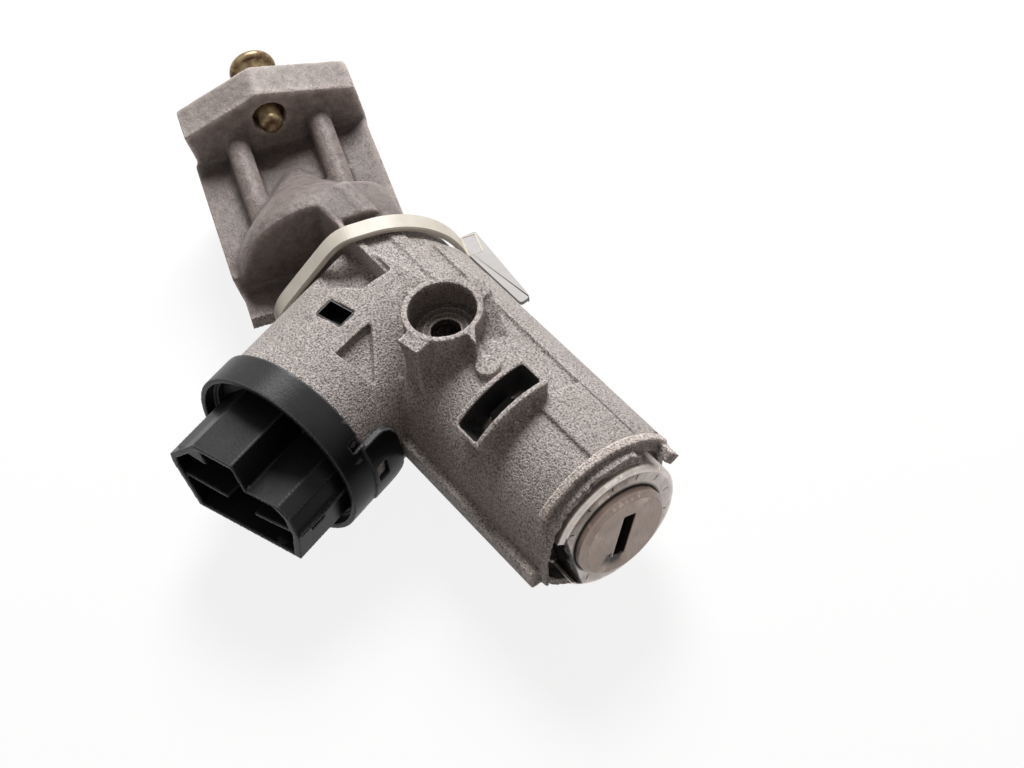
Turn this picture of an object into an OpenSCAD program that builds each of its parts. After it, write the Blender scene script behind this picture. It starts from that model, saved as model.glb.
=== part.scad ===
// Ignition switch with steering lock: a die-cast lock housing, a key cylinder along X,
// an electrical switch on a side branch and a column bracket with a shear bolt.
// Millimetres. +X leaves the keyhole, +Z is the axis of the screw cup on the barrel.

/* [Barrel] */
// outer radius of the lock barrel
barrel_r = 19.2; // [18:0.1:20]
// length of the lock barrel behind its front rim
barrel_len = 105; // [100:1:110]
// radius of the bore that takes the lock cylinder
bore_r = 15.5; // [15.2:0.1:16]
// radius of the recess round the lock cylinder's face
front_recess_r = 17.5; // [17:0.1:18]
// depth of that recess
front_recess_depth = 8; // [5:0.5:12]
// radius over the raised collar at the front rim
collar_r = 20.9; // [20:0.1:22]
// radius over the thicker right side of the barrel
side_land_r = 20.3; // [19.6:0.1:21]

/* [Screw cup] */
// distance of the cup's axis behind the front rim
cup_back = 53.6; // [50:0.1:56]
// inner radius of the cup
cup_r = 7.55; // [7:0.05:8]
// wall of the cup
cup_wall = 1.4; // [1:0.1:2]
// height of the cup's rim above the barrel axis
cup_top = 24.6; // [23:0.1:26]
// depth of the cup's floor below its rim
cup_depth = 7.2; // [6:0.1:7.6]
// radius of the screw hole in the cup's floor
screw_hole_r = 3.3; // [2.5:0.1:3.6]

/* [Catch window] */
// distance of the window's front edge behind the rim
window_back = 24.6; // [22:0.1:27]
// width of the window along the barrel
window_w = 6.2; // [5:0.1:7]
// radius over the window's raised frame
window_frame_r = 24; // [22.5:0.1:25]
// wall of the raised frame
window_frame_wall = 1.4; // [1:0.1:2]

/* [Switch branch] */
// distance of the branch's axis behind the front rim
branch_back = 75; // [72:0.5:78]
// lean of the branch towards the key
branch_lean = 15.3; // [12:0.1:18]
// outer radius of the branch
branch_r = 21; // [20.5:0.1:21.4]
// length of the branch from the barrel axis
branch_len = 37.2; // [36:0.1:38]
// radius of the bore that takes the switch
switch_bore_r = 17.5; // [17:0.1:18]
// radius of the bore round the switch gear
gear_bore_r = 12; // [11.6:0.1:13]

/* [Switch] */
// outer radius of the switch ring
ring_r = 22.1; // [22:0.1:23]
// length of the switch ring along the branch
ring_len = 8.2; // [7:0.1:9]
// distance of the connector's mouth from the barrel axis
socket_reach = 60; // [57:0.5:63]
// depth of the connector socket
socket_depth = 14; // [10:0.5:16]
// blade width
blade_w = 4.8; // [3:0.1:5]
// blade thickness
blade_t = 0.8; // [0.6:0.1:1]

/* [Lock cylinder] */
// radius of the plug's head
plug_head_r = 11.2; // [10.8:0.1:11.4]
// how far the plug's head stands in front of the rim
plug_front = 3.3; // [2:0.1:4]
// radius of the lip at the front of the sleeve
lip_r = 15.9; // [15.6:0.1:16.4]
// radius of the plug's body
plug_r = 8.5; // [8:0.1:8.6]
// length of the key slot
key_slot_len = 11.5; // [10:0.1:12.5]
// width of the key slot
key_slot_w = 2.4; // [2:0.1:2.8]
// number of wafers
wafer_count = 6; // [4:1:7]

/* [Steering lock] */
// travel of the lock bolt from locked to free
bolt_travel = 7; // [5:0.5:7]
// angle the key turns from stop to start
key_sweep = 90; // [80:5:90]
// width of the lock bolt's nose
nose_w = 9; // [8:0.1:9.4]
// how far the locked bolt stands out of the seat
nose_out = 6.5; // [5:0.5:7]

/* [Column bracket] */
// angle of the bracket to the barrel
bracket_turn = 19.6; // [17:0.1:22]
// distance from the branch axis to the flange's inner face
flange_near = 63.4; // [61:0.1:66]
// thickness of the flange
flange_t = 10.6; // [9:0.1:12]
// height of the bracket's panels above the barrel axis
panel_z = 4; // [2:0.1:6]
// radius of the shear bolt's thread
shear_r = 4; // [3.5:0.1:4.2]
// radius of the round bracket body
dome_r = 20; // [19:0.1:20.5]

/* [Marker tie] */
// width of the strap
tie_w = 4.8; // [4:0.1:5.5]
// thickness of the strap
tie_t = 1.3; // [1:0.1:1.6]

/* [Hidden] */
$fn = 64;
run_gap = 0.05;
seat_gap = 0.1;
free_gap = 0.3;
cut = 1;
rear_x = -barrel_len;
apex_x = -branch_back;
chamber_x = apex_x + 2.8;
bearing_t = 4;
bearing_x = -48.2;
sleeve_r = bore_r - seat_gap;
sleeve_rear_x = bearing_x + bearing_t + free_gap;
sleeve_face_x = 0.8;
lip_len = front_recess_depth + sleeve_face_x - 0.4;
shaft_r = 4;
shaft_rear_x = apex_x - 14.5;
head_front_x = sleeve_rear_x + 3.6;
// steering lock levels, in the bracket's frame
bar_v = 3.2;
bar_w = 4.4;
bar_top = -12;
bar_bottom = -15.5;
nose_v = -6;
nose_top = -8.2;
nose_bottom = -17;
carrier_u = 26;
carrier_len = 6;
finger_u = -19;
finger_len = 2.5;
finger_top = -7.6;
tunnel_floor = -17.6;
cover_t = 2;
cover_u = 14.5;
cover_len = 43;
spring_r = 2.5;
spring_u = 10;
flange_far = flange_near + flange_t;
bolt_v = -14.3;
bolt_z = 12.8;
dome_v = -13;
dome_u = 24;
bracket_v1 = 8.4;
rim_back = 7;
rim_tear = 57;
rim_lobe = 0.4;
rim_break = 24;
collar_front = -2.2;
latch_sides = [0, 215];
// lock cam
cam_rise = bolt_travel * cos(bracket_turn);
cam_span = key_sweep - 12.6;
cam_lead = cam_span / cam_rise;
cam_t = 2.2;
cam_r = 11.5;
cam_hub_r = 6.5;
cam_start_x = apex_x + 14.3;
// bevel gears, both with their apex where the two axes cross
teeth = 16;
cone_angle = (90 - branch_lean) / 2;
cone_far = 15.2;
cone_near = 9.6;
addendum = 0.9;
dedendum = 1.3;
gap_share = 0.62;
root_angle = cone_angle - atan(dedendum / cone_far);
pitch_far = 2 * 3.14159265 * cone_far * sin(cone_angle) / teeth;
tip_far = [cone_far * sin(cone_angle) + addendum * cos(cone_angle),
           cone_far * cos(cone_angle) - addendum * sin(cone_angle)];
root_far = [cone_far * sin(cone_angle) - dedendum * cos(cone_angle),
            cone_far * cos(cone_angle) + dedendum * sin(cone_angle)];
cone_ratio = cone_near / cone_far;
gear_back = root_far[1] + 0.6;
// switch levels along the branch
cup_rear = 24.6;
base_rear = branch_len + 0.1;
base_front = base_rear + 3.6;
rotor_rear = 27;
rotor_t = 4;
rotor_r = 14.8;
spindle_r = 5;
window_a0 = -41;
window_a1 = 5;
key_slot_turn = -20.5;
wafer_t = 1.2;
wafer_w = 7;
wafer_pitch = 4.6;
wafer_first = -9;
wafer_travel = 1.4;
catch_w = 5.6;
catch_l = 5.4;
catch_travel = 3.3;
catch_base = plug_r + 5.2;
catch_angle = -18;
tie_u = 11.5;
tie_left = -6.4;
tie_right = -2.7;
tie_inner = barrel_r + 1;

// outline of the connector at its mouth, across and up, in the branch's frame
function socket_outline() = [[-18, 3.6], [-8.4, 13.7], [3, 14.7], [5.4, 7.5], [14.6, 8.7],
                             [17.6, 6.4], [19, 0.5], [17.6, -8.2], [-13.4, -12], [-18, 0.9]];
function drawn_in(p, share) = [for (q = p) [q[0] * share, q[1] * share + (1 - share)]];

// frames: along the barrel, along the branch (z outwards, y up), along the bracket (x = -u)
module along_x(x) translate([x, 0, 0]) rotate([0, 90, 0]) children();
module on_branch(a = 0) translate([apex_x, 0, 0]) rotate([90, 0, branch_lean])
    translate([0, 0, a]) children();
module on_bracket() translate([apex_x, 0, 0]) rotate([0, 0, -bracket_turn]) children();
module bracket_box(u0, u1, v0, v1, z0, z1)
    translate([-u1, v0, z0]) cube([u1 - u0, v1 - v0, z1 - z0]);

// solid wedge of a cylinder about X; angles run from +Z towards +Y
module barrel_sector(r, a0, a1, x0, x1) {
    far = 3 * r;
    intersection() {
        along_x(x0) cylinder(r = r, h = x1 - x0);
        translate([x0, 0, 0]) rotate([90, 0, 90]) linear_extrude(x1 - x0)
            polygon([[0, 0], [far * sin(a0), far * cos(a0)], [far * sin(a1), far * cos(a1)]]);
    }
}

// flat ring sector of a helix, used as a square-wire spring along +Z
module coil(r, wire, pitch, turns, facets) {
    span = 360 * wire / pitch;
    step = span / 3;
    linear_extrude(height = pitch * turns, twist = -360 * turns, slices = facets * turns, $fn = 3)
        polygon(concat([for (i = [0:3]) r * [cos(i * step), sin(i * step)]],
                       [for (i = [3:-1:0]) (r - wire) * [cos(i * step), sin(i * step)]]));
}

// straight bevel gear along +Z with its apex at the origin
module bevel_gear(bore, phase) {
    difference() {
        rotate_extrude() polygon([[bore, root_far[1] * cone_ratio], root_far * cone_ratio,
            tip_far * cone_ratio, tip_far, root_far, [root_far[0], gear_back], [bore, gear_back]]);
        for (k = [0:teeth - 1]) rotate(phase + k * 360 / teeth) rotate([0, root_angle, 0])
            rotate([90, 0, 90]) linear_extrude(4 * addendum) tooth_gap();
    }
}
module tooth_gap() {
    near = cone_near - 2;
    end = cone_far + 3;
    half = gap_share * pitch_far / cone_far / 2;
    polygon([[-half * near, near], [half * near, near], [half * end, end], [-half * end, end]]);
}

module barrel_outside() {
    difference() {
        union() {
            along_x(rear_x) cylinder(r = barrel_r, h = barrel_len - rim_back);
            barrel_sector(barrel_r, -60, rim_break, -rim_back - cut, 0);
            barrel_sector(barrel_r, rim_break - 1, rim_tear, -rim_back - cut, collar_front - 0.3);
            barrel_sector(barrel_r, -178, -59, -rim_back - cut, rim_lobe);
            barrel_sector(side_land_r, 33, 88, apex_x - 0.9, -rim_back);
            barrel_sector(side_land_r - 0.1, 34, rim_tear - 1.5, -rim_back - cut, -4);
            barrel_sector(barrel_r + 0.7, 12, 22, rear_x, -cup_back);
        }
        // open corner between the bracket and the branch
        translate([rear_x - cut, -barrel_r - 5, 0])
            cube([barrel_len + apex_x + 3, barrel_r + 2, barrel_r + 5]);
        // the rear end narrows to the bracket's width behind the tie
        on_bracket() bracket_box(tie_u + 3.5, 2 * barrel_len, bracket_v1 - 1.8, 3 * barrel_r, -2 * barrel_r,
            2 * barrel_r);
        // groove behind the tie
        on_bracket() bracket_box(tie_u + 2.7, tie_u + 6.8, -7.4, 3 * barrel_r, barrel_r - 2.3, 2 * barrel_r);
    }
    // thin rib along the top, over the open corner
    translate([rear_x, -3, barrel_r - 4]) cube([barrel_len - cup_back - 6, 1.5, 4.6]);
    // rail along the lower left side
    translate([-60, -barrel_r - 2.3, -4]) cube([59, 5, 5]);
    // collar round the top of the front rim
    barrel_sector(collar_r, -49, rim_tear - 2, -4.6, collar_front);
    barrel_sector(collar_r - 0.7, rim_tear - 8, rim_tear - 0.8, -3.6, 1.8);
    // raised pad between the window and the collar
    barrel_sector(barrel_r + 0.9, -2, 33, -window_back + 1, -4);
    window_frame();
    screw_cup_outside();
}
module window_frame() barrel_sector(window_frame_r, window_a0 - 2.5, window_a1 + 2.5,
    -window_back - window_w - window_frame_wall, -window_back + window_frame_wall);

module screw_cup_outside() {
    translate([-cup_back, -2, 0]) cylinder(r = cup_r + cup_wall, h = cup_top);
    // gusset with a flat top on the left, leaning towards the key
    difference() {
        translate([-cup_back + 1.6, -8, 8]) rotate([-12, -18.3, 0]) linear_extrude(cup_top)
            polygon([[1.4, -7.2], [7, -6.4], [9, 2], [1, 2]]);
        translate([-cup_back - 20, -30, cup_top - 2.5]) cube([40, 60, 40]);
    }
    // sloping fin on the right
    translate([-cup_back + 1.2, 8.9, 0]) rotate([0, 0, -20]) translate([0, 1.2, 0]) rotate([90, 0, 0])
        linear_extrude(2.4) polygon([[-2, 12], [-2, cup_top - 2.6], [0.6, cup_top - 2.6],
            [8.9, barrel_r - 1.4], [8.9, 12]]);
    // low shoulder round the back of the cup
    linear_extrude(cup_top - 2.6) polygon([[-cup_back - 6.4, 3], [-cup_back - 6, 6.4], [-cup_back - 4.4, 8.4],
        [-cup_back - 1.4, 10.2], [-cup_back + 1.2, 10.4], [-cup_back + 2, 8], [-cup_back, 3]]);
    // pear-shaped pad in front of the cup
    translate([-42, -0.6, 15]) cylinder(r = 2.7, h = 5.4);
    translate([-46.5, -2, 15]) cube([4, 2.8, 5.1]);
}

module branch_outside() {
    difference() {
        on_branch() cylinder(r = branch_r, h = branch_len);
        // open corner beside the barrel goes on into the branch
        translate([0, 0, gear_bore_r + 1.6]) linear_extrude(branch_r) polygon([[apex_x + 1.6, -2],
            [apex_x + 2, -10.2], [apex_x - 3.6, -14.4], [apex_x - 10, -17], [apex_x - 40, -17], [apex_x - 40, -2]]);
    }
    // flat pad round the square window
    on_branch(14.7) translate([-6.6, 12, 0]) cube([10.4, branch_r - 12.4, 8]);
    // peg that the switch ring's latch snaps over, and its twin on the far side
    for (side = latch_sides) on_branch(34.2) rotate([0, 0, side])
        translate([branch_r - 2, -2, 0]) cube([2.6, 4, 2.6]);
}

module bracket_outside() on_bracket() {
    // round body where the bracket meets the barrel
    intersection() {
        translate([-54, dome_v, 0]) rotate([0, 90, 0]) rotate_extrude()
            polygon([[0, 0], [3.6, 0], [5.4, 4], [7.8, 8], [10.6, 12], [13.6, 16], [16.6, 20], [18.9, 23.5],
                     [dome_r, 26.5], [dome_r, 54 - dome_u], [0, 54 - dome_u]]);
        bracket_box(0, 62, -34.5, 8, -8, dome_r + 1);
    }
    // panels and ledge
    rotate([90, 0, 90]) translate([0, 0, -flange_near - cut])
        linear_extrude(flange_near + cut - dome_u) polygon([[-34.9, panel_z],
            [bracket_v1, panel_z], [bracket_v1 - 1, -8], [-33, -8]]);
    bracket_box(tie_u + 2.7, dome_u + cut, -33.4, -8, -3.6, 0);
    // flange with a roof-shaped top
    rotate([90, 0, 90]) translate([0, 0, -flange_far]) linear_extrude(flange_t)
        polygon([[-35.6, 13.9], [-15.7, 21.2], [7.4, 14.6], [bracket_v1 + 0.4, 3], [bracket_v1, -19.6],
                 [-28, -19.6], [-33, -8], [-33.8, 4]]);
    // two rounded ribs
    for (v = [-23.6, -2.9]) translate([-flange_near - 2, v, 9.2]) rotate([0, 7, 0]) {
        rotate([0, 90, 0]) cylinder(r = 2.8, h = 32);
        translate([0, -2.8, -8]) cube([32, 5.6, 8]);
    }
    // housing of the lock bolt's tunnel
    bracket_box(cover_u, flange_near + cut, -15, 9.6, tunnel_floor, -6);
}

module housing_cuts() {
    along_x(chamber_x) cylinder(r = bore_r, h = 120);
    along_x(-front_recess_depth) cylinder(r = front_recess_r, h = 120);
    along_x(shaft_rear_x - 0.5) cylinder(r = shaft_r + run_gap, h = 20);
    // screw cup and its hole
    translate([-cup_back, -2, cup_top - cup_depth]) cylinder(r = cup_r, h = 20);
    translate([-cup_back, -2, 8]) cylinder(r = screw_hole_r, h = 20);
    // catch window
    difference() {
        barrel_sector(window_frame_r + cut, window_a0, window_a1, -window_back - window_w,
            -window_back);
        along_x(-60) cylinder(r = bore_r - 2, h = 60);
    }
    // branch bores and the square window
    on_branch() cylinder(r = gear_bore_r, h = branch_len);
    on_branch(cup_rear - free_gap) cylinder(r = switch_bore_r, h = branch_len);
    on_branch(16.1) translate([-5, 8, 0]) cube([7.2, 20, 5.2]);
    // three-cornered recess beside the window
    on_branch() rotate(-27) translate([0, branch_r - 2, 0]) rotate([-90, 0, 0]) linear_extrude(5)
        polygon([[-3.4, -15.9], [7, -26.5], [-4.1, -27]]);
    on_bracket() {
        // tunnel of the lock bolt, open underneath
        bracket_box(finger_u - bolt_travel - cut, carrier_u, bar_v - bar_w / 2 - free_gap,
            bar_v + bar_w / 2 + free_gap, bar_bottom - free_gap, finger_top + free_gap);
        bracket_box(carrier_u - bolt_travel - 0.5, carrier_u + carrier_len + 0.4,
            nose_v - nose_w / 2 - free_gap, bar_v + bar_w / 2 + free_gap, tunnel_floor - cut,
            bar_top + free_gap);
        bracket_box(carrier_u - bolt_travel, flange_far + cut, nose_v - nose_w / 2 - free_gap,
            nose_v + nose_w / 2 + free_gap, nose_bottom - free_gap, nose_top + free_gap);
        bracket_box(carrier_u - bolt_travel, 50, nose_v - nose_w / 2 - free_gap,
            nose_v + nose_w / 2 + free_gap, tunnel_floor - cut, nose_top + free_gap);
        translate([-carrier_u, nose_v, -13]) rotate([0, 90, 0])
            cylinder(r = spring_r + 0.4, h = carrier_u - spring_u);
        // flat seat of the cover
        bracket_box(cover_u - seat_gap, cover_u + cover_len + seat_gap, -15 - seat_gap, 9.6 + seat_gap,
            tunnel_floor - 10, tunnel_floor);
        // shear bolt and cover pins
        translate([-flange_far - cut, bolt_v, bolt_z]) rotate([0, 90, 0])
            cylinder(r = shear_r + run_gap, h = flange_t + 2 * cut);
        pin_row() translate([0, 0, tunnel_floor - cut]) cylinder(r = 1.5 + run_gap, h = 6);
    }
}
module pin_row() for (u = [17.5, 53.6], v = [-13, 7.8]) translate([-u, v, 0]) children();

module lock_housing() color([0.56, 0.53, 0.51]) difference() {
    union() {
        barrel_outside();
        branch_outside();
        bracket_outside();
    }
    housing_cuts();
}

module cylinder_sleeve() color([0.72, 0.7, 0.66]) difference() {
    union() {
        along_x(sleeve_rear_x) cylinder(r = sleeve_r, h = sleeve_face_x - sleeve_rear_x - cut);
        translate([sleeve_face_x, 0, 0]) rotate([0, -90, 0]) rotate_extrude()
            polygon([[0, 0], [lip_r - 0.8, 0], [lip_r, 0.8], [lip_r, lip_len], [0, lip_len]]);
    }
    along_x(sleeve_rear_x - cut) cylinder(r = plug_r + run_gap, h = 60);
    along_x(-4) cylinder(r = plug_head_r + run_gap, h = 20);
    // grooves that catch the wafers
    for (side = [0:90:270]) rotate([key_slot_turn + side, 0, 0])
        translate([wafer_first - wafer_count * wafer_pitch, -wafer_w / 2 - free_gap, plug_r - 1])
            cube([wafer_count * wafer_pitch + 3, wafer_w + 2 * free_gap, wafer_travel + 1.6]);
    // pocket of the catch and its spring
    rotate([-catch_angle, 0, 0]) translate([-window_back - window_w / 2 - catch_l / 2 - seat_gap,
        -catch_w / 2 - seat_gap, catch_base - catch_travel - seat_gap])
            cube([catch_l + 2 * seat_gap, catch_w + 2 * seat_gap, 10]);
    // cut-away at the lower left of the face
    rotate([-83, 0, 0]) translate([-7, -8.2, -sleeve_r - 5]) cube([20, 16.4, 8.5]);
}

module key_plug() color([0.74, 0.72, 0.68]) difference() {
    union() {
        along_x(head_front_x) cylinder(r = plug_r, h = -head_front_x);
        along_x(-3.9) rotate_extrude() polygon([[0, 0], [plug_head_r, 0],
            [plug_head_r, plug_front + 2.9], [plug_head_r - 1, plug_front + 3.9],
            [0, plug_front + 3.9]]);
        // tang that drives the shaft
        translate([sleeve_rear_x + 0.4, -1.4, -6]) cube([4, 2.8, 12]);
    }
    // key slot
    rotate([key_slot_turn, 0, 0]) translate([-34, -key_slot_w / 2, -key_slot_len / 2])
        cube([50, key_slot_w, key_slot_len]);
    // wafer slots
    for (i = [0:wafer_count - 1]) rotate([key_slot_turn, 0, 0])
        translate([wafer_first - i * wafer_pitch - wafer_t / 2 - run_gap, -wafer_w / 2 - run_gap, -12])
            cube([wafer_t + 2 * run_gap, wafer_w + 2 * run_gap, 24]);
}

module wafer_tumblers() color([0.78, 0.62, 0.28])
    for (i = [0:wafer_count - 1]) rotate([key_slot_turn, 0, 0]) difference() {
        translate([wafer_first - i * wafer_pitch - wafer_t / 2, -wafer_w / 2, -7.4])
            cube([wafer_t, wafer_w, 14.6]);
        translate([wafer_first - i * wafer_pitch - wafer_t, -1.7, -5.2 + 0.3 * (i % 3)])
            cube([2 * wafer_t, 3.4, 9.6]);
        translate([wafer_first - i * wafer_pitch - wafer_t, -wafer_w / 2 - cut, -2.6])
            cube([2 * wafer_t, cut + 1.2, 6]);
    }

module wafer_springs() color([0.6, 0.6, 0.62])
    for (i = [0:wafer_count - 1]) rotate([key_slot_turn, 0, 0])
        translate([wafer_first - i * wafer_pitch, -wafer_w / 2 + 0.55, -2.4])
            coil(0.5, 0.3, 1.4, 4, 6);

module cylinder_catch() color([0.5, 0.49, 0.48]) rotate([-catch_angle, 0, 0])
    translate([-window_back - window_w / 2, 0, 0]) difference() {
        translate([-catch_l / 2, -catch_w / 2, catch_base])
            cube([catch_l, catch_w, barrel_r - 2 - catch_base]);
        translate([0, 0, catch_base - cut]) cylinder(r = 1.9, h = 2.6);
    }

module catch_spring() color([0.6, 0.6, 0.62]) rotate([-catch_angle, 0, 0])
    translate([-window_back - window_w / 2, 0, catch_base - catch_travel]) coil(1.6, 0.4, 1.2, 4, 8);

module shaft_bearing() color([0.62, 0.6, 0.58]) difference() {
    along_x(bearing_x) cylinder(r = bore_r - run_gap, h = bearing_t);
    along_x(bearing_x - cut) cylinder(r = shaft_r + run_gap, h = 10);
}

module drive_shaft() color([0.55, 0.55, 0.56]) difference() {
    union() {
        along_x(shaft_rear_x) cylinder(r = shaft_r, h = sleeve_rear_x - shaft_rear_x);
        along_x(sleeve_rear_x) cylinder(r = 7.4, h = 3.4);
    }
    translate([sleeve_rear_x + 0.2, -1.5, -10]) cube([10, 3, 20]);
}

module drive_gear() color([0.66, 0.64, 0.6]) along_x(apex_x)
    bevel_gear(shaft_r + run_gap, -90 + 180 / teeth);

module lock_cam() color([0.6, 0.58, 0.55]) difference() {
    union() {
        along_x(cam_start_x - 0.6) cylinder(r = cam_hub_r, h = 9.2);
        along_x(cam_start_x) rotate(-33.4)
            linear_extrude(height = 9, twist = -9 * cam_lead, slices = 24, $fn = 3) cam_section();
    }
    along_x(cam_start_x - 4) cylinder(r = shaft_r + run_gap, h = 30);
}

module cam_section() {
    step = cam_t * cam_lead / 3;
    polygon(concat([for (i = [0:3]) cam_r * [cos(i * step), sin(i * step)]],
                   [for (i = [3:-1:0]) (cam_hub_r - 1.2) * [cos(i * step), sin(i * step)]]));
}

module return_spring() color([0.6, 0.6, 0.62]) along_x(bearing_x - 2.7) coil(6.2, 0.6, 1.1, 2, 24);

module lock_bolt() color([0.62, 0.62, 0.63]) on_bracket() {
    bracket_box(finger_u, carrier_u + 2, bar_v - bar_w / 2, bar_v + bar_w / 2, bar_bottom, bar_top);
    bracket_box(finger_u, finger_u + finger_len, bar_v - bar_w / 2, bar_v + bar_w / 2, bar_top - 1,
        finger_top);
    bracket_box(carrier_u, carrier_u + carrier_len, nose_v - nose_w / 2, bar_v + bar_w / 2,
        bar_bottom, bar_top);
    bracket_box(carrier_u + carrier_len - 2, flange_far + nose_out, nose_v - nose_w / 2,
        nose_v + nose_w / 2, nose_bottom, nose_top);
}

module lock_bolt_spring() color([0.6, 0.6, 0.62]) on_bracket()
    translate([-carrier_u + 0.1, nose_v, -13]) rotate([0, 90, 0])
        coil(spring_r, 0.7, (carrier_u - spring_u - 0.2) / 6, 6, 10);

module bolt_cover() color([0.58, 0.58, 0.59]) on_bracket() difference() {
    bracket_box(cover_u, cover_u + cover_len, -15, 9.6, tunnel_floor - cover_t, tunnel_floor);
    pin_row() translate([0, 0, tunnel_floor - cover_t - cut]) cylinder(r = 1.5 + run_gap, h = 6);
}

module cover_pins() color([0.5, 0.5, 0.51]) on_bracket() pin_row() {
    translate([0, 0, tunnel_floor - cover_t]) cylinder(r = 1.5, h = 6.5);
    translate([0, 0, tunnel_floor - cover_t - 0.8]) cylinder(r = 2.4, h = 0.8);
}

module switch_gear() color([0.85, 0.83, 0.76]) on_branch() bevel_gear(2.5, 0);

module switch_rotor() color([0.83, 0.8, 0.72]) on_branch() difference() {
    union() {
        translate([0, 0, gear_back]) cylinder(r = spindle_r, h = rotor_rear - gear_back);
        translate([0, 0, gear_back - 4]) cylinder(r = 2.5 - run_gap, h = 5);
        translate([0, 0, rotor_rear]) cylinder(r = rotor_r, h = rotor_t);
    }
    for (k = [0:2]) rotate(k * 120) translate([9.5, 0, rotor_rear + 1.4])
        cylinder(r = 2, h = rotor_t);
}

module contact_springs() color([0.6, 0.6, 0.62])
    for (k = [0:2]) on_branch(rotor_rear + 1.45) rotate(k * 120) translate([9.5, 0, 0])
        coil(1.7, 0.45, 1.12, 3, 8);

module contact_bridge() color([0.75, 0.5, 0.32]) on_branch(rotor_rear + 4.9) difference() {
    union() {
        cylinder(r = 12.5, h = 0.9);
        for (k = [0:2]) rotate(k * 120) translate([9.5, 0, 0.5]) cylinder(r = 1.5, h = 1.2);
    }
    translate([0, 0, -cut]) cylinder(r = 6, h = 4);
}

module connector_housing() color([0.08, 0.08, 0.085]) {
    on_branch() difference() {
        union() {
            translate([0, 0, cup_rear]) cylinder(r = switch_bore_r - seat_gap, h = base_rear - cup_rear);
            translate([0, 0, base_rear]) cylinder(r = branch_r - 0.2, h = base_front - base_rear);
            translate([0, 0, base_front - cut]) linear_extrude(socket_reach - base_front + cut)
                polygon(socket_outline());
        }
        // room for the rotor
        translate([0, 0, cup_rear - cut]) cylinder(r = rotor_r + 0.5, h = 10.9);
        // socket
        translate([0, 0, socket_reach - socket_depth]) linear_extrude(socket_depth + cut)
            polygon(drawn_in(socket_outline(), 0.9));
        blade_row() translate([-blade_w / 2 - run_gap, -blade_t / 2 - run_gap, 30])
            cube([blade_w + 2 * run_gap, blade_t + 2 * run_gap, 30]);
        // small latch window in the right wall
        translate([14, -1.4, socket_reach - 8.5]) cube([8, 2.8, 4.2]);
    }
    // partition in the socket
    on_branch(socket_reach - socket_depth - cut) translate([4.9, 0.9, 0]) cube([1.2, 6.6, 11]);
}
module blade_row() {
    for (e = [-9.5, -2.7, 4.1, 10.9]) translate([e, -4.4, 0]) children();
    for (e = [-9.5, -2.7]) translate([e, 4.6, 0]) children();
}

module blade_terminals() color([0.78, 0.66, 0.36]) on_branch() blade_row()
    translate([-blade_w / 2, -blade_t / 2, cup_rear + 9.3])
        cube([blade_w, blade_t, socket_reach - cup_rear - 15]);

module switch_ring() color([0.07, 0.07, 0.075]) on_branch() difference() {
    union() {
        translate([0, 0, base_rear]) cylinder(r = ring_r, h = ring_len);
        for (side = latch_sides) rotate(side) latch_arm();
    }
    translate([0, 0, base_rear - 20]) cylinder(r = branch_r + 0.05, h = 20.05 + base_front - base_rear);
    translate([0, 0, base_rear]) cylinder(r = 19.6, h = 20);
    translate([0, 0, base_front + 1.6]) cylinder(r = ring_r - 1.3, h = 20);
    for (side = latch_sides) rotate(side) {
        // window over the casting's peg
        translate([branch_r - 3, -2.3, 33.9]) cube([8, 4.6, 3.2]);
        // relief slots beside the arm
        for (up = [-1, 1]) rotate(up * 29) translate([branch_r - 3, -1.3, base_rear - 2])
            cube([8, 2.6, 5.2]);
    }
}
module latch_arm() intersection() {
    translate([0, 0, 28.9]) cylinder(r = ring_r + 0.4, h = base_rear - 28.9 + cut);
    translate([0, 0, 36]) rotate([0, 90, 0]) linear_extrude(30) union() {
        translate([-3, -9]) square([6, 18]);
        translate([0, -5]) square([7.1, 10]);
        for (y = [-5, 5]) translate([3, y]) circle(r = 4);
    }
}

module shear_bolt() color([0.74, 0.6, 0.28]) on_bracket() translate([0, bolt_v, bolt_z])
    rotate([0, 90, 0]) {
        translate([0, 0, -flange_far - 9.4]) rotate_extrude()
            polygon([[0, -0.6], [2, -0.2], [2.4, 0], [4.9, 0.3], [5.8, 1.2], [5.8, 3.4], [shear_r, 3.4],
                     [shear_r, 22.4], [3.4, 23.2], [1.2, 23.2], [0, 22.4]]);
    }

module marker_tie() color([0.87, 0.84, 0.76]) on_bracket() {
    difference() {
        tie_loop(tie_inner + tie_t, tie_w);
        tie_loop(tie_inner, tie_w + 2 * cut);
    }
    // head and write-on flag on the right
    translate([-tie_u - 3.4, tie_right + tie_inner + 0.3, -2.2]) cube([6.8, 4.3, 7.8]);
    rotate([0, 0, bracket_turn]) translate([0, side_land_r, 4.4]) linear_extrude(1.1)
        polygon([[-8, 0], [17.4, 0], [17.4, 2.2], [16.8, 2.8], [-7, 5.4]]);
}
module tie_loop(r, w) translate([-tie_u, 0, 0]) rotate([90, 0, 90]) translate([0, 0, -w / 2])
    difference() {
        union() {
            translate([tie_left, 0, 0]) cylinder(r = r, h = w);
            translate([tie_right, 0, 0]) cylinder(r = r, h = w);
            translate([tie_left, -r, 0]) cube([tie_right - tie_left, 2 * r, w]);
        }
        // taut over the open corner beside the barrel
        rotate([0, 0, 136]) translate([r + 1, -2 * barrel_len, -cut]) cube([50, 4 * barrel_len, w + 2 * cut]);
    }

lock_housing();
cylinder_sleeve();
key_plug();
wafer_tumblers();
wafer_springs();
cylinder_catch();
catch_spring();
shaft_bearing();
drive_shaft();
drive_gear();
lock_cam();
return_spring();
lock_bolt();
lock_bolt_spring();
bolt_cover();
cover_pins();
switch_gear();
switch_rotor();
contact_bridge();
contact_springs();
connector_housing();
blade_terminals();
switch_ring();
shear_bolt();
marker_tie();
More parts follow.
